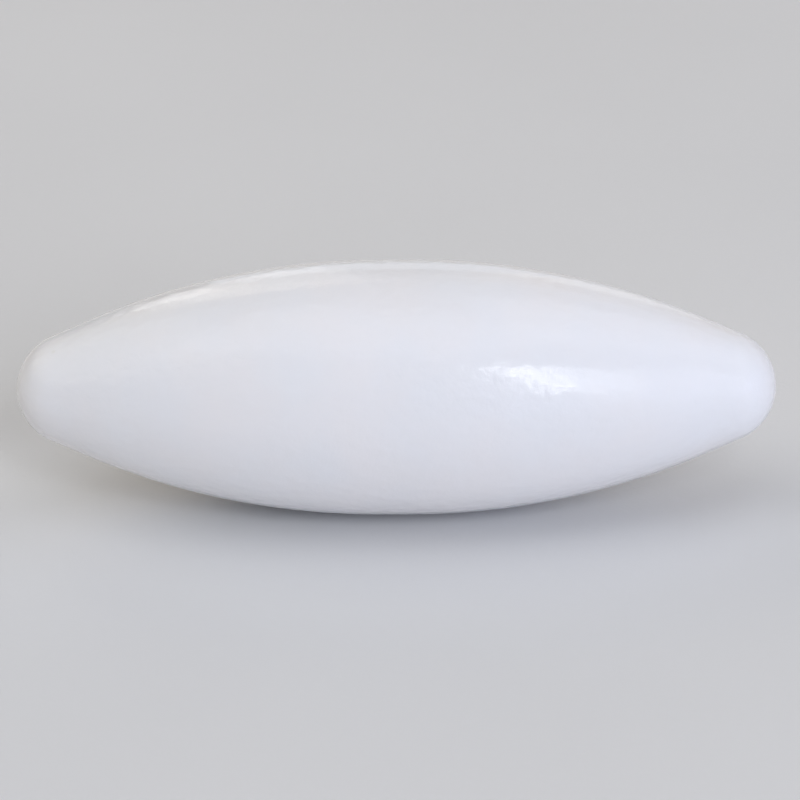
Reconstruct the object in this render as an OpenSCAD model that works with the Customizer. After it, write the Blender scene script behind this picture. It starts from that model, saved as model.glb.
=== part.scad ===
// Magnetic stir bar, olive pattern: a cast magnet rod sealed inside a moulded PTFE casing.
// The bar lies along X with its centre at the origin and Z up, so its belly touches the
// vessel's floor at Z = -belly_d / 2.

/* [Bar] */
// Overall length, nose to nose
bar_l = 60; // [50:1:80]
// Diameter at the belly, where the bar is widest
belly_d = 20.1; // [17:0.1:26]
// Length of the short straight land round the belly, on which the bar lies
belly_land = 2.5; // [0:0.5:8]
// Length of the straight taper between the belly's curve and each nose, along its slope
taper_l = 3; // [1:0.5:6]
// Radius of the ball at each nose
nose_r = 4.5; // [3.5:0.1:6]

/* [Magnet] */
// Diameter of the magnet rod
magnet_d = 10; // [6:0.5:11]
// Thickness of the casing beyond each end of the magnet, along the bar's axis
end_wall = 9; // [8:0.5:16]
// Chamfer round each end of the magnet, which keeps its corner from cutting into the casing
magnet_chamfer = 0.8; // [0.2:0.1:2]

/* [Fit] */
// Gap all round between the magnet and its pocket, none where the casing is sintered tight on it
pocket_gap = 0; // [0:0.05:0.3]

/* [Colours] */
// Colour of the casing
casing_colour = "whitesmoke"; // [whitesmoke, white, ivory]
// Colour of the magnet
magnet_colour = "dimgray"; // [dimgray, gray, silver]

/* [Hidden] */
$fn = 180;

// Half of the belly's diameter, and the middle of the ball at a nose
belly_r = belly_d / 2;
nose_x = bar_l / 2 - nose_r;
// Length from the end of the land to the middle of the nose
side_l = nose_x - belly_land / 2;

// The belly's curve is an arc that leaves the land without a kink and ends tangent to a straight
// taper, which in turn runs tangent into the nose. The distance between the arc's centre and the
// nose's centre then follows from the taper's length, and that gives the arc's radius.
arc_r = (side_l ^ 2 + belly_r ^ 2 - nose_r ^ 2 - taper_l ^ 2) / (2 * (belly_r - nose_r));
arc_drop = arc_r - belly_r;
// Slope of the taper against the bar's axis
slope = atan2(
    side_l * (arc_r - nose_r) - arc_drop * taper_l,
    arc_drop * (arc_r - nose_r) + side_l * taper_l
);
// The taper's outward normal in the section, as radius and length
outward = [cos(slope), sin(slope)];
// The taper lies this much inside its true line, so that rounding leaves no step where it starts
seam = 0.0002;
taper_start = [-arc_drop, belly_land / 2] + (arc_r - seam) * outward;
taper_end = [0, nose_x] + (nose_r - seam) * outward;

magnet_l = bar_l - 2 * end_wall;

// The part of a section between two lengths, on the outer side of the bar's axis
module between(low, high) {
    intersection() {
        children();
        translate([0, low]) square([belly_d, high - low]);
    }
}

// One quarter of the bar's section: its radius runs along X and its length along Y
module quarter_section() {
    square([belly_r, belly_land / 2]);
    between(belly_land / 2, (taper_start.y + taper_end.y) / 2)
        translate([-arc_drop, belly_land / 2]) circle(arc_r);
    polygon([[0, belly_land / 2], taper_start, taper_end, [0, nose_x]]);
    between(nose_x - nose_r, nose_x + 2 * nose_r)
        translate([0, nose_x]) circle(nose_r);
}

// Half of the bar's section, from nose to nose
module half_section() {
    quarter_section();
    mirror([0, 1]) quarter_section();
}

// Half of the rod's section with its two chamfers, grown all round by a gap
module rod_section(gap) {
    r = magnet_d / 2 + gap;
    h = magnet_l / 2 + gap;
    polygon([
        [0, -h],
        [r - magnet_chamfer, -h],
        [r, magnet_chamfer - h],
        [r, h - magnet_chamfer],
        [r - magnet_chamfer, h],
        [0, h]
    ]);
}

// Turns a half section round the bar's long axis
module turned() {
    rotate([0, 90, 0]) rotate_extrude() children();
}

// Seamless outer body, with the pocket that holds the magnet closed inside it
module casing() {
    color(casing_colour)
        turned()
            difference() {
                half_section();
                rod_section(pocket_gap);
            }
}

// Cast magnet rod that fills the pocket
module magnet() {
    color(magnet_colour)
        turned()
            rod_section(0);
}

casing();
magnet();
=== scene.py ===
import math

import bpy
from mathutils import Matrix, Quaternion, Vector


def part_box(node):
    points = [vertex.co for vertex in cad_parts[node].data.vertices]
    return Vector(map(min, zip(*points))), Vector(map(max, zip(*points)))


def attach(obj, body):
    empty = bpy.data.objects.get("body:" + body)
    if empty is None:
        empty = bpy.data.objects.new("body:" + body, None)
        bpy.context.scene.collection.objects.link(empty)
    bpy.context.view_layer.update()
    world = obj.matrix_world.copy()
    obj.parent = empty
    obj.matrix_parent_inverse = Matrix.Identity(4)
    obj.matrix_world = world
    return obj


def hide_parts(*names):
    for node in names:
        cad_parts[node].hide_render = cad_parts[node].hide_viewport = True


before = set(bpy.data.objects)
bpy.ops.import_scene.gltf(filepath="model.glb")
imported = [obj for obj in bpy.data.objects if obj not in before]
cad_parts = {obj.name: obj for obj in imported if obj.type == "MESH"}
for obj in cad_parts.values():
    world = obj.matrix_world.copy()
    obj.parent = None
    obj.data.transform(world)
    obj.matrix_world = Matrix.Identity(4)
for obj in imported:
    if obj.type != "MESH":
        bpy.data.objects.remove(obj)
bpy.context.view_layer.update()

MM = 0.001

# The bar's sizes, in metres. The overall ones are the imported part's own.
casing_low, casing_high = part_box("casing")
magnet_low, magnet_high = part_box("magnet")
BAR_L = casing_high.x - casing_low.x
BELLY_D = casing_high.y - casing_low.y
MAGNET_L = magnet_high.x - magnet_low.x
MAGNET_D = magnet_high.y - magnet_low.y
FLOOR_Z = casing_low.z
# The casing's finer sizes: the straight land round the belly, the straight taper beside each
# nose, the nose's ball and the chamfer at each end of the pocket
BELLY_LAND = 2.5 * MM
TAPER_L = 3.0 * MM
NOSE_R = 4.5 * MM
POCKET_CHAMFER = 0.8 * MM
# The moulding is a little uneven: how far its skin wanders, and over what distance
SKIN_WAVE = 0.03 * MM
SKIN_WAVE_SIZE = 8.0 * MM
SKIN_RIPPLE = 0.026 * MM
SKIN_RIPPLE_SIZE = 0.7 * MM
SKIN_WAVE_SEED = 1.0
SKIN_RIPPLE_SEED = 2.0

# The skin's mesh: its rings along the bar and its sides round it. Of the rings from the middle to
# a nose's tip, the land, the arc and the taper end at these shares.
SKIN_RINGS = 261
SKIN_SIDES = 361
LAND_SHARE = 0.04
ARC_SHARE = 0.7
TAPER_SHARE = 0.76
# The pocket's section is straight lines, so each takes one step between rings. The bore ends at
# the first share and the chamfer at the second.
POCKET_RINGS = 7
POCKET_SIDES = 97
BORE_SHARE = 1 / 3
CHAMFER_SHARE = 2 / 3
# Points nearer than this become one, at a turned surface's poles and along its seam
MERGE_DISTANCE = 0.002 * MM

# The picture is square. The bar's centre shows at this pixel, at this scale.
PICTURE_PX = 800
CENTRE_PX = (394.7, 386.9)
PX_PER_MM = 12.68
# The camera looks down on the bar and turns a little towards its right end
CAMERA_AZIMUTH = 4.6
CAMERA_ELEVATION = 26.6
CAMERA_ROLL = 2.33
CAMERA_DISTANCE = 0.42
CAMERA_CLIP = 0.01
SENSOR_MM = 36.0
# The lamps stand on a sphere round the bar. The floor ends just inside it, since none of them
# lights the floor beyond.
LAMP_DISTANCE = 0.8
FLOOR_HALF = LAMP_DISTANCE * 0.9
# The room's own light, and what the camera sees past the floor's edge
ROOM = (0.175, 0.175, 0.185, 1)
BACKDROP = (0.66, 0.66, 0.66, 1)

# Geometry node trees


class Field:
    """A number that varies over a mesh. Sums and products of fields become math nodes."""

    def __init__(self, tree, socket):
        self.tree = tree
        self.socket = socket

    def math(self, operation, *others):
        inputs = dict(enumerate((self, *others)))
        made = node(self.tree, "ShaderNodeMath", inputs, operation=operation)
        return Field(self.tree, made.outputs[0])

    def __add__(self, other):
        return self.math("ADD", other)

    def __sub__(self, other):
        return self.math("SUBTRACT", other)

    def __mul__(self, other):
        return self.math("MULTIPLY", other)

    def __truediv__(self, other):
        return self.math("DIVIDE", other)

    def squared(self):
        return self * self

    def sine(self):
        return self.math("SINE")

    def cosine(self):
        return self.math("COSINE")


def feed(tree, socket, value):
    """Links a field or a socket into an input, or writes a plain value there."""
    if isinstance(value, Field):
        value = value.socket
    if isinstance(value, bpy.types.NodeSocket):
        tree.links.new(value, socket)
    else:
        socket.default_value = value


def node(tree, kind, inputs=None, **settings):
    """Adds a node, with its settings and its inputs by name."""
    made = tree.nodes.new(kind)
    for name, value in settings.items():
        setattr(made, name, value)
    for name, value in (inputs or {}).items():
        feed(tree, made.inputs[name], value)
    return made


def scale_for(tree, size):
    """The scale of a texture that varies over about this size."""
    return node(tree, "ShaderNodeMath", {0: 1.0, 1: size}, operation="DIVIDE").outputs[0]


def progress(along, start, end):
    """How far a point has gone along one stretch of the section: 0 before it and 1 after it."""
    made = node(along.tree, "ShaderNodeMapRange", {0: along, 1: start, 2: end})
    return Field(along.tree, made.outputs[0])


def turned(tree, rings, sides, section):
    """A closed surface turned round X. section gives the place along X and the radius of a point,
    from how far it is along half of the bar, and the same section serves both halves."""
    grid = node(
        tree,
        "GeometryNodeMeshGrid",
        {"Size X": 2.0, "Size Y": math.tau, "Vertices X": rings, "Vertices Y": sides},
    )
    position = node(tree, "GeometryNodeInputPosition")
    place = node(tree, "ShaderNodeSeparateXYZ", {0: position.outputs[0]})
    along = Field(tree, place.outputs["X"])
    angle = Field(tree, place.outputs["Y"])
    x, radius = section(along.math("ABSOLUTE"))
    point = node(
        tree,
        "ShaderNodeCombineXYZ",
        {0: x * along.math("SIGN"), 1: radius * angle.sine(), 2: radius * angle.cosine()},
    )
    bent = node(
        tree,
        "GeometryNodeSetPosition",
        {"Geometry": grid.outputs["Mesh"], "Position": point.outputs[0]},
    )
    closed = node(
        tree,
        "GeometryNodeMergeByDistance",
        {"Geometry": bent.outputs[0], "Distance": MERGE_DISTANCE},
    )
    return closed.outputs[0]


def bar_section(size):
    """The olive section: land, belly arc, straight taper and nose ball, each tangent to the next.
    The two arcs' centres are as far apart as the taper between them needs."""
    belly_r = size["Belly diameter"] * 0.5
    nose_r = size["Nose radius"]
    taper = size["Taper"]
    land = size["Belly land"] * 0.5
    nose_x = size["Length"] * 0.5 - nose_r
    side = nose_x - land
    arc_r = (side.squared() + belly_r.squared() - nose_r.squared() - taper.squared()) / (
        (belly_r - nose_r) * 2.0
    )
    drop = arc_r - belly_r
    gain = arc_r - nose_r
    slope = (side * gain - drop * taper).math("ARCTAN2", drop * gain + side * taper)

    def section(along):
        on_land = progress(along, 0.0, LAND_SHARE)
        on_arc = progress(along, LAND_SHARE, ARC_SHARE)
        on_taper = progress(along, ARC_SHARE, TAPER_SHARE)
        on_nose = progress(along, TAPER_SHARE, 1.0)
        turn = slope * on_arc + (slope * -1.0 + math.pi / 2) * on_nose
        radius = arc_r - gain * on_taper
        x = land * on_land + side * on_taper + radius * turn.sine()
        r = drop * (on_taper - 1.0) + radius * turn.cosine()
        return x, r

    return section


def pocket_section(size):
    """The magnet's pocket: a straight bore, a chamfer and a flat end."""
    radius = size["Pocket diameter"] * 0.5
    chamfer = size["Pocket chamfer"]
    bore = size["Pocket length"] * 0.5 - chamfer

    def section(along):
        on_bore = progress(along, 0.0, BORE_SHARE)
        on_chamfer = progress(along, BORE_SHARE, CHAMFER_SHARE)
        on_end = progress(along, CHAMFER_SHARE, 1.0)
        x = bore * on_bore + chamfer * on_chamfer
        r = radius - chamfer * on_chamfer - (radius - chamfer) * on_end
        return x, r

    return section


def unevenness(tree, height, width, seed):
    """A smooth random rise and fall of a surface, up to height either way over about width."""
    place = node(tree, "GeometryNodeInputPosition")
    scale = scale_for(tree, width)
    noise = node(
        tree,
        "ShaderNodeTexNoise",
        {"Vector": place.outputs[0], "W": seed, "Scale": scale, "Detail": 0.0},
        noise_dimensions="4D",
    )
    return (Field(tree, noise.outputs[0]) - 0.5) * height * 2.0


def casing_tree(surface):
    """The tree that makes the casing: a turned skin, wandering a little, round a turned pocket."""
    tree = bpy.data.node_groups.new("turned_casing", "GeometryNodeTree")
    sizes = {
        "Length": BAR_L,
        "Belly diameter": BELLY_D,
        "Belly land": BELLY_LAND,
        "Taper": TAPER_L,
        "Nose radius": NOSE_R,
        "Pocket diameter": MAGNET_D,
        "Pocket length": MAGNET_L,
        "Pocket chamfer": POCKET_CHAMFER,
        "Skin wave": SKIN_WAVE,
        "Skin wave size": SKIN_WAVE_SIZE,
        "Skin ripple": SKIN_RIPPLE,
        "Skin ripple size": SKIN_RIPPLE_SIZE,
    }
    identifiers = {}
    for name in sizes:
        made = tree.interface.new_socket(name, in_out="INPUT", socket_type="NodeSocketFloat")
        identifiers[name] = made.identifier
    tree.interface.new_socket("Geometry", in_out="OUTPUT", socket_type="NodeSocketGeometry")
    given = node(tree, "NodeGroupInput")
    size = {name: Field(tree, given.outputs[name]) for name in sizes}

    skin = turned(tree, SKIN_RINGS, SKIN_SIDES, bar_section(size))
    wave = unevenness(tree, size["Skin wave"], size["Skin wave size"], SKIN_WAVE_SEED)
    ripple = unevenness(tree, size["Skin ripple"], size["Skin ripple size"], SKIN_RIPPLE_SEED)
    normal = node(tree, "GeometryNodeInputNormal")
    push = node(
        tree,
        "ShaderNodeVectorMath",
        {0: normal.outputs[0], "Scale": wave + ripple},
        operation="SCALE",
    )
    uneven = node(
        tree,
        "GeometryNodeSetPosition",
        {"Geometry": skin, "Offset": push.outputs[0]},
    )
    smooth = node(tree, "GeometryNodeSetShadeSmooth", {"Geometry": uneven.outputs[0]})
    pocket = turned(tree, POCKET_RINGS, POCKET_SIDES, pocket_section(size))
    inward = node(tree, "GeometryNodeFlipFaces", {"Mesh": pocket})
    both = node(tree, "GeometryNodeJoinGeometry")
    tree.links.new(inward.outputs[0], both.inputs[0])
    tree.links.new(smooth.outputs[0], both.inputs[0])
    real = node(tree, "GeometryNodeRealizeInstances", {"Geometry": both.outputs[0]})
    dressed = node(
        tree,
        "GeometryNodeSetMaterial",
        {"Geometry": real.outputs[0], "Material": surface},
    )
    node(tree, "NodeGroupOutput", {"Geometry": dressed.outputs[0]})
    return tree, {identifiers[name]: value for name, value in sizes.items()}


def grown(name, tree, values):
    """A plain mesh object holding what a geometry node tree makes with these inputs."""
    seed = bpy.data.objects.new(name + "_seed", bpy.data.meshes.new(name + "_seed"))
    bpy.context.scene.collection.objects.link(seed)
    modifier = seed.modifiers.new("grow", "NODES")
    modifier.node_group = tree
    for identifier, value in values.items():
        modifier[identifier] = value
    evaluated = seed.evaluated_get(bpy.context.evaluated_depsgraph_get())
    mesh = bpy.data.meshes.new_from_object(evaluated)
    mesh.name = name
    # The nodes leave an empty slot ahead of the one their material is in
    mesh.materials.pop(index=0)
    bpy.data.objects.remove(seed)
    made = bpy.data.objects.new(name, mesh)
    bpy.context.scene.collection.objects.link(made)
    return made


# Materials


def group(name, inputs, outputs):
    """An empty shader node group with named inputs and outputs."""
    tree = bpy.data.node_groups.new(name, "ShaderNodeTree")
    for label, kind, value in inputs:
        made = tree.interface.new_socket(label, in_out="INPUT", socket_type=kind)
        if value is not None:
            made.default_value = value
    for label, kind in outputs:
        tree.interface.new_socket(label, in_out="OUTPUT", socket_type=kind)
    return tree, node(tree, "NodeGroupInput"), node(tree, "NodeGroupOutput")


def mottle_group():
    """Slow drifts of tone over a surface: two colours, blended in soft clouds."""
    tree, given, result = group(
        "mottle",
        [
            ("Vector", "NodeSocketVector", None),
            ("Cloud size", "NodeSocketFloat", 0.01),
            ("Colour", "NodeSocketColor", (0.8, 0.8, 0.8, 1)),
            ("Cloud colour", "NodeSocketColor", (0.7, 0.7, 0.7, 1)),
        ],
        [("Colour", "NodeSocketColor"), ("Mask", "NodeSocketFloat")],
    )
    scale = scale_for(tree, given.outputs["Cloud size"])
    noise = node(
        tree,
        "ShaderNodeTexNoise",
        {"Vector": given.outputs["Vector"], "Scale": scale, "Detail": 3.0},
    )
    spread = node(
        tree,
        "ShaderNodeMapRange",
        {"Value": noise.outputs[0], "From Min": 0.3, "From Max": 0.7},
        interpolation_type="SMOOTHSTEP",
    )
    blend = node(
        tree,
        "ShaderNodeMix",
        {
            "Factor": spread.outputs[0],
            "A": given.outputs["Colour"],
            "B": given.outputs["Cloud colour"],
        },
        data_type="RGBA",
    )
    feed(tree, result.inputs["Colour"], blend.outputs["Result"])
    feed(tree, result.inputs["Mask"], spread.outputs[0])
    return tree


def specks_group():
    """Small specks here and there: inclusions, pits or dust. Share is the part of the cells,
    each a speck's spacing wide, that holds one."""
    tree, given, result = group(
        "specks",
        [
            ("Vector", "NodeSocketVector", None),
            ("Spacing", "NodeSocketFloat", 0.005),
            ("Share", "NodeSocketFloat", 0.3),
            ("Radius", "NodeSocketFloat", 0.0002),
            ("Colour", "NodeSocketColor", (0.8, 0.8, 0.8, 1)),
            ("Speck colour", "NodeSocketColor", (0.5, 0.5, 0.5, 1)),
        ],
        [("Colour", "NodeSocketColor")],
    )
    scale = scale_for(tree, given.outputs["Spacing"])
    cells = node(
        tree,
        "ShaderNodeTexVoronoi",
        {"Vector": given.outputs["Vector"], "Scale": scale},
    )
    lot = node(tree, "ShaderNodeSeparateColor", {0: cells.outputs["Color"]})
    chosen = node(
        tree,
        "ShaderNodeMath",
        {0: lot.outputs["Red"], 1: given.outputs["Share"]},
        operation="LESS_THAN",
    )
    away = node(
        tree,
        "ShaderNodeMath",
        {0: cells.outputs["Distance"], 1: given.outputs["Spacing"]},
        operation="MULTIPLY",
    )
    # A speck fades out from its middle, and no two are equally strong
    near = node(
        tree,
        "ShaderNodeMapRange",
        {"Value": away.outputs[0], "From Min": given.outputs["Radius"], "From Max": 0.0},
        interpolation_type="SMOOTHSTEP",
    )
    strength = node(
        tree,
        "ShaderNodeMath",
        {0: chosen.outputs[0], 1: lot.outputs["Green"]},
        operation="MULTIPLY",
    )
    mask = node(
        tree,
        "ShaderNodeMath",
        {0: near.outputs[0], 1: strength.outputs[0]},
        operation="MULTIPLY",
    )
    blend = node(
        tree,
        "ShaderNodeMix",
        {
            "Factor": mask.outputs[0],
            "A": given.outputs["Colour"],
            "B": given.outputs["Speck colour"],
        },
        data_type="RGBA",
    )
    feed(tree, result.inputs["Colour"], blend.outputs["Result"])
    return tree


def grain_group():
    """The fine unevenness of a surface, as a height from 0 to 1 over about one grain's size."""
    tree, given, result = group(
        "grain",
        [
            ("Vector", "NodeSocketVector", None),
            ("Grain size", "NodeSocketFloat", 0.0005),
        ],
        [("Height", "NodeSocketFloat")],
    )
    scale = scale_for(tree, given.outputs["Grain size"])
    noise = node(
        tree,
        "ShaderNodeTexNoise",
        {"Vector": given.outputs["Vector"], "Scale": scale, "Detail": 2.0},
    )
    feed(tree, result.inputs["Height"], noise.outputs[0])
    return tree


GROUPS = {"mottle": mottle_group(), "specks": specks_group(), "grain": grain_group()}


def material(name, **plain):
    """A new material: its tree, its shader with the plain values set, and Object coordinates."""
    made = bpy.data.materials.new(name)
    made.use_nodes = True
    tree = made.node_tree
    shader = tree.nodes["Principled BSDF"]
    for label, value in plain.items():
        shader.inputs[label.replace("_", " ")].default_value = value
    place = node(tree, "ShaderNodeTexCoord").outputs["Object"]
    return made, tree, shader, place


def effect(tree, name, values):
    """Places a shared group in a material, with this surface's own values."""
    made = node(tree, "ShaderNodeGroup", node_tree=GROUPS[name])
    for label, value in values.items():
        feed(tree, made.inputs[label], value)
    return made


def varied(tree, shader, label, mask, low, high):
    """Makes one of the shader's values run from low to high with a mask."""
    made = node(tree, "ShaderNodeMapRange", {"Value": mask, "To Min": low, "To Max": high})
    feed(tree, shader.inputs[label], made.outputs[0])


def roughened(tree, shader, height, distance):
    """Gives the shader a relief of this depth."""
    made = node(tree, "ShaderNodeBump", {"Height": height, "Distance": distance})
    feed(tree, shader.inputs["Normal"], made.outputs[0])


def casing_material():
    """Moulded PTFE: a dense milky white that light goes a little way into, under a waxy gloss."""
    made, tree, shader, place = material(
        "moulded_white_fluoropolymer",
        IOR=1.36,
        Subsurface_Weight=1.0,
        Subsurface_Radius=(1.0, 1.0, 1.0),
        Subsurface_Scale=1.5 * MM,
    )
    cloud = effect(
        tree,
        "mottle",
        {
            "Vector": place,
            "Cloud size": 9.0 * MM,
            "Colour": (0.88, 0.86, 0.86, 1),
            "Cloud colour": (0.86, 0.86, 0.875, 1),
        },
    )
    speck = effect(
        tree,
        "specks",
        {
            "Vector": place,
            "Spacing": 7.0 * MM,
            "Share": 0.4,
            "Radius": 0.3 * MM,
            "Colour": cloud.outputs["Colour"],
            "Speck colour": (0.81, 0.8, 0.78, 1),
        },
    )
    feed(tree, shader.inputs["Base Color"], speck.outputs["Colour"])
    varied(tree, shader, "Roughness", cloud.outputs["Mask"], 0.1, 0.14)
    grain = effect(tree, "grain", {"Vector": place, "Grain size": 0.3 * MM})
    roughened(tree, shader, grain.outputs["Height"], 0.014 * MM)
    return made


def magnet_material():
    """Cast magnet alloy, fettled but not polished: dark grey metal with a sandy skin and pits."""
    made, tree, shader, place = material("cast_magnet_metal", Metallic=0.9)
    cloud = effect(
        tree,
        "mottle",
        {
            "Vector": place,
            "Cloud size": 4.0 * MM,
            "Colour": (0.32, 0.31, 0.3, 1),
            "Cloud colour": (0.24, 0.23, 0.22, 1),
        },
    )
    pits = effect(
        tree,
        "specks",
        {
            "Vector": place,
            "Spacing": 1.6 * MM,
            "Share": 0.5,
            "Radius": 0.3 * MM,
            "Colour": cloud.outputs["Colour"],
            "Speck colour": (0.1, 0.09, 0.08, 1),
        },
    )
    feed(tree, shader.inputs["Base Color"], pits.outputs["Colour"])
    grain = effect(tree, "grain", {"Vector": place, "Grain size": 0.35 * MM})
    varied(tree, shader, "Roughness", grain.outputs["Height"], 0.35, 0.65)
    roughened(tree, shader, grain.outputs["Height"], 0.06 * MM)
    return made


def floor_material():
    """A pale matt board, a little uneven in tone."""
    made, tree, shader, place = material("pale_floor")
    cloud = effect(
        tree,
        "mottle",
        {
            "Vector": place,
            "Cloud size": 60.0 * MM,
            "Colour": (0.73, 0.73, 0.73, 1),
            "Cloud colour": (0.71, 0.71, 0.71, 1),
        },
    )
    feed(tree, shader.inputs["Base Color"], cloud.outputs["Colour"])
    varied(tree, shader, "Roughness", cloud.outputs["Mask"], 0.75, 0.85)
    grain = effect(tree, "grain", {"Vector": place, "Grain size": 0.4 * MM})
    roughened(tree, shader, grain.outputs["Height"], 0.02 * MM)
    return made


# The pieces


def make_casing():
    """The casing's skin and pocket, shown in place of its plain solid."""
    tree, values = casing_tree(casing_material())
    casing = grown("casing_skin", tree, values)
    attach(casing, "root")
    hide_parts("casing")


def dress_magnet():
    """The magnet is shown as its own solid, in cast metal."""
    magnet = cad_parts["magnet"]
    metal = magnet_material()
    for slot in magnet.material_slots:
        slot.material = metal


# The stage


def direction(azimuth, elevation):
    """A unit vector towards a place round the bar. Azimuth 0 is in front, and 90 off its right."""
    a, e = math.radians(azimuth), math.radians(elevation)
    return Vector((math.sin(a) * math.cos(e), -math.cos(a) * math.cos(e), math.sin(e)))


def make_floor():
    """A square of floor that the bar lies on."""
    corners = [(-1, -1), (1, -1), (1, 1), (-1, 1)]
    mesh = bpy.data.meshes.new("floor")
    mesh.from_pydata(
        [(x * FLOOR_HALF, y * FLOOR_HALF, FLOOR_Z) for x, y in corners], [], [(0, 1, 2, 3)]
    )
    mesh.materials.append(floor_material())
    floor = bpy.data.objects.new("floor", mesh)
    bpy.context.scene.collection.objects.link(floor)


def soft_box(name, azimuth, elevation, width, height, glow, lean=0):
    """A plain soft lamp that faces the bar. Seen from there it lies at azimuth and elevation and is
    width by height degrees, with its top tipped lean degrees towards smaller azimuths. glow is its
    face's colour, where 1 is white."""
    lamp = bpy.data.lights.new(name, "AREA")
    lamp.shape = "RECTANGLE"
    lamp.size = 2 * LAMP_DISTANCE * math.tan(math.radians(width / 2))
    lamp.size_y = 2 * LAMP_DISTANCE * math.tan(math.radians(height / 2))
    lamp.color = [part / max(glow) for part in glow]
    lamp.energy = max(glow) * math.pi * lamp.size * lamp.size_y
    made = bpy.data.objects.new(name, lamp)
    made.location = direction(azimuth, elevation) * LAMP_DISTANCE
    made.rotation_mode = "QUATERNION"
    facing = made.location.to_track_quat("Z", "Y")
    made.rotation_quaternion = facing @ Quaternion((0, 0, 1), math.radians(lean))
    made.visible_camera = False
    bpy.context.scene.collection.objects.link(made)


def make_lamps():
    """A cool window to the front right, and weaker fills all round, warm at the left and behind."""
    soft_box("window_pane", 22, 31, 6, 23, (10, 10.3, 10.5), lean=10)
    soft_box("window_head", 19.5, 41, 11, 5, (6, 6.3, 6.5))
    soft_box("window_side", 33, 28, 12, 26, (2.2, 2.4, 2.7), lean=-8)
    soft_box("front_fill", 40, 19, 60, 38, (1.03, 1.11, 1.4))
    soft_box("left_fill", -90, 42, 60, 40, (0.89, 0.84, 0.73))
    soft_box("right_fill", 75, 10, 40, 20, (0.6, 0.62, 1.0))
    soft_box("rear_right_fill", 108, 64, 46, 31, (0.75, 0.78, 0.85))
    soft_box("rear_right_wall", 145, 22, 60, 44, (0.33, 0.25, 0.12))
    soft_box("rear_left_wall", -135, 33, 50, 24, (0.46, 0.38, 0.24))
    soft_box("rear_left_pane", -165, 26, 14, 34, (0.75, 0.75, 0.75))
    soft_box("rear_left_transom", -163, 42.5, 16, 4, (1.1, 0.85, 0.65))
    soft_box("rear_left_strip", -156, 27, 6, 24, (1.3, 1.3, 1.3), lean=-14)
    soft_box("top_fill", -30, 75, 50, 40, (0.86, 0.89, 0.97))
    soft_box("back_glow", 180, 11, 28, 20, (0.68, 0.75, 0.85))


def make_world():
    """A dim, even room. Past the floor's far edge the camera sees a pale backdrop instead."""
    world = bpy.data.worlds.new("studio")
    world.use_nodes = True
    tree = world.node_tree
    ray = node(tree, "ShaderNodeLightPath")
    seen = node(
        tree,
        "ShaderNodeMix",
        {"Factor": ray.outputs["Is Camera Ray"], "A": ROOM, "B": BACKDROP},
        data_type="RGBA",
    )
    feed(tree, tree.nodes["Background"].inputs["Color"], seen.outputs["Result"])
    bpy.context.scene.world = world


def make_camera():
    """Puts the bar's centre at its pixel without shift: the camera aims just beside it."""
    data = bpy.data.cameras.new("camera")
    focal_px = PX_PER_MM * CAMERA_DISTANCE / MM
    data.sensor_width = SENSOR_MM
    data.lens = focal_px / PICTURE_PX * SENSOR_MM
    data.clip_start = CAMERA_CLIP
    back = direction(CAMERA_AZIMUTH, CAMERA_ELEVATION)
    turn = back.to_track_quat("Z", "Y").to_matrix().to_4x4()
    turn = turn @ Matrix.Rotation(math.radians(-CAMERA_ROLL), 4, "Z")
    px_size = CAMERA_DISTANCE / focal_px
    right = (CENTRE_PX[0] - PICTURE_PX / 2) * px_size
    up = (PICTURE_PX / 2 - CENTRE_PX[1]) * px_size
    place = back * CAMERA_DISTANCE - turn.to_3x3() @ Vector((right, up, 0))
    camera = bpy.data.objects.new("camera", data)
    camera.matrix_world = Matrix.Translation(place) @ turn
    bpy.context.scene.collection.objects.link(camera)
    bpy.context.scene.camera = camera


bpy.context.scene.view_settings.view_transform = "Standard"
make_camera()
make_casing()
dress_magnet()
make_floor()
make_lamps()
make_world()
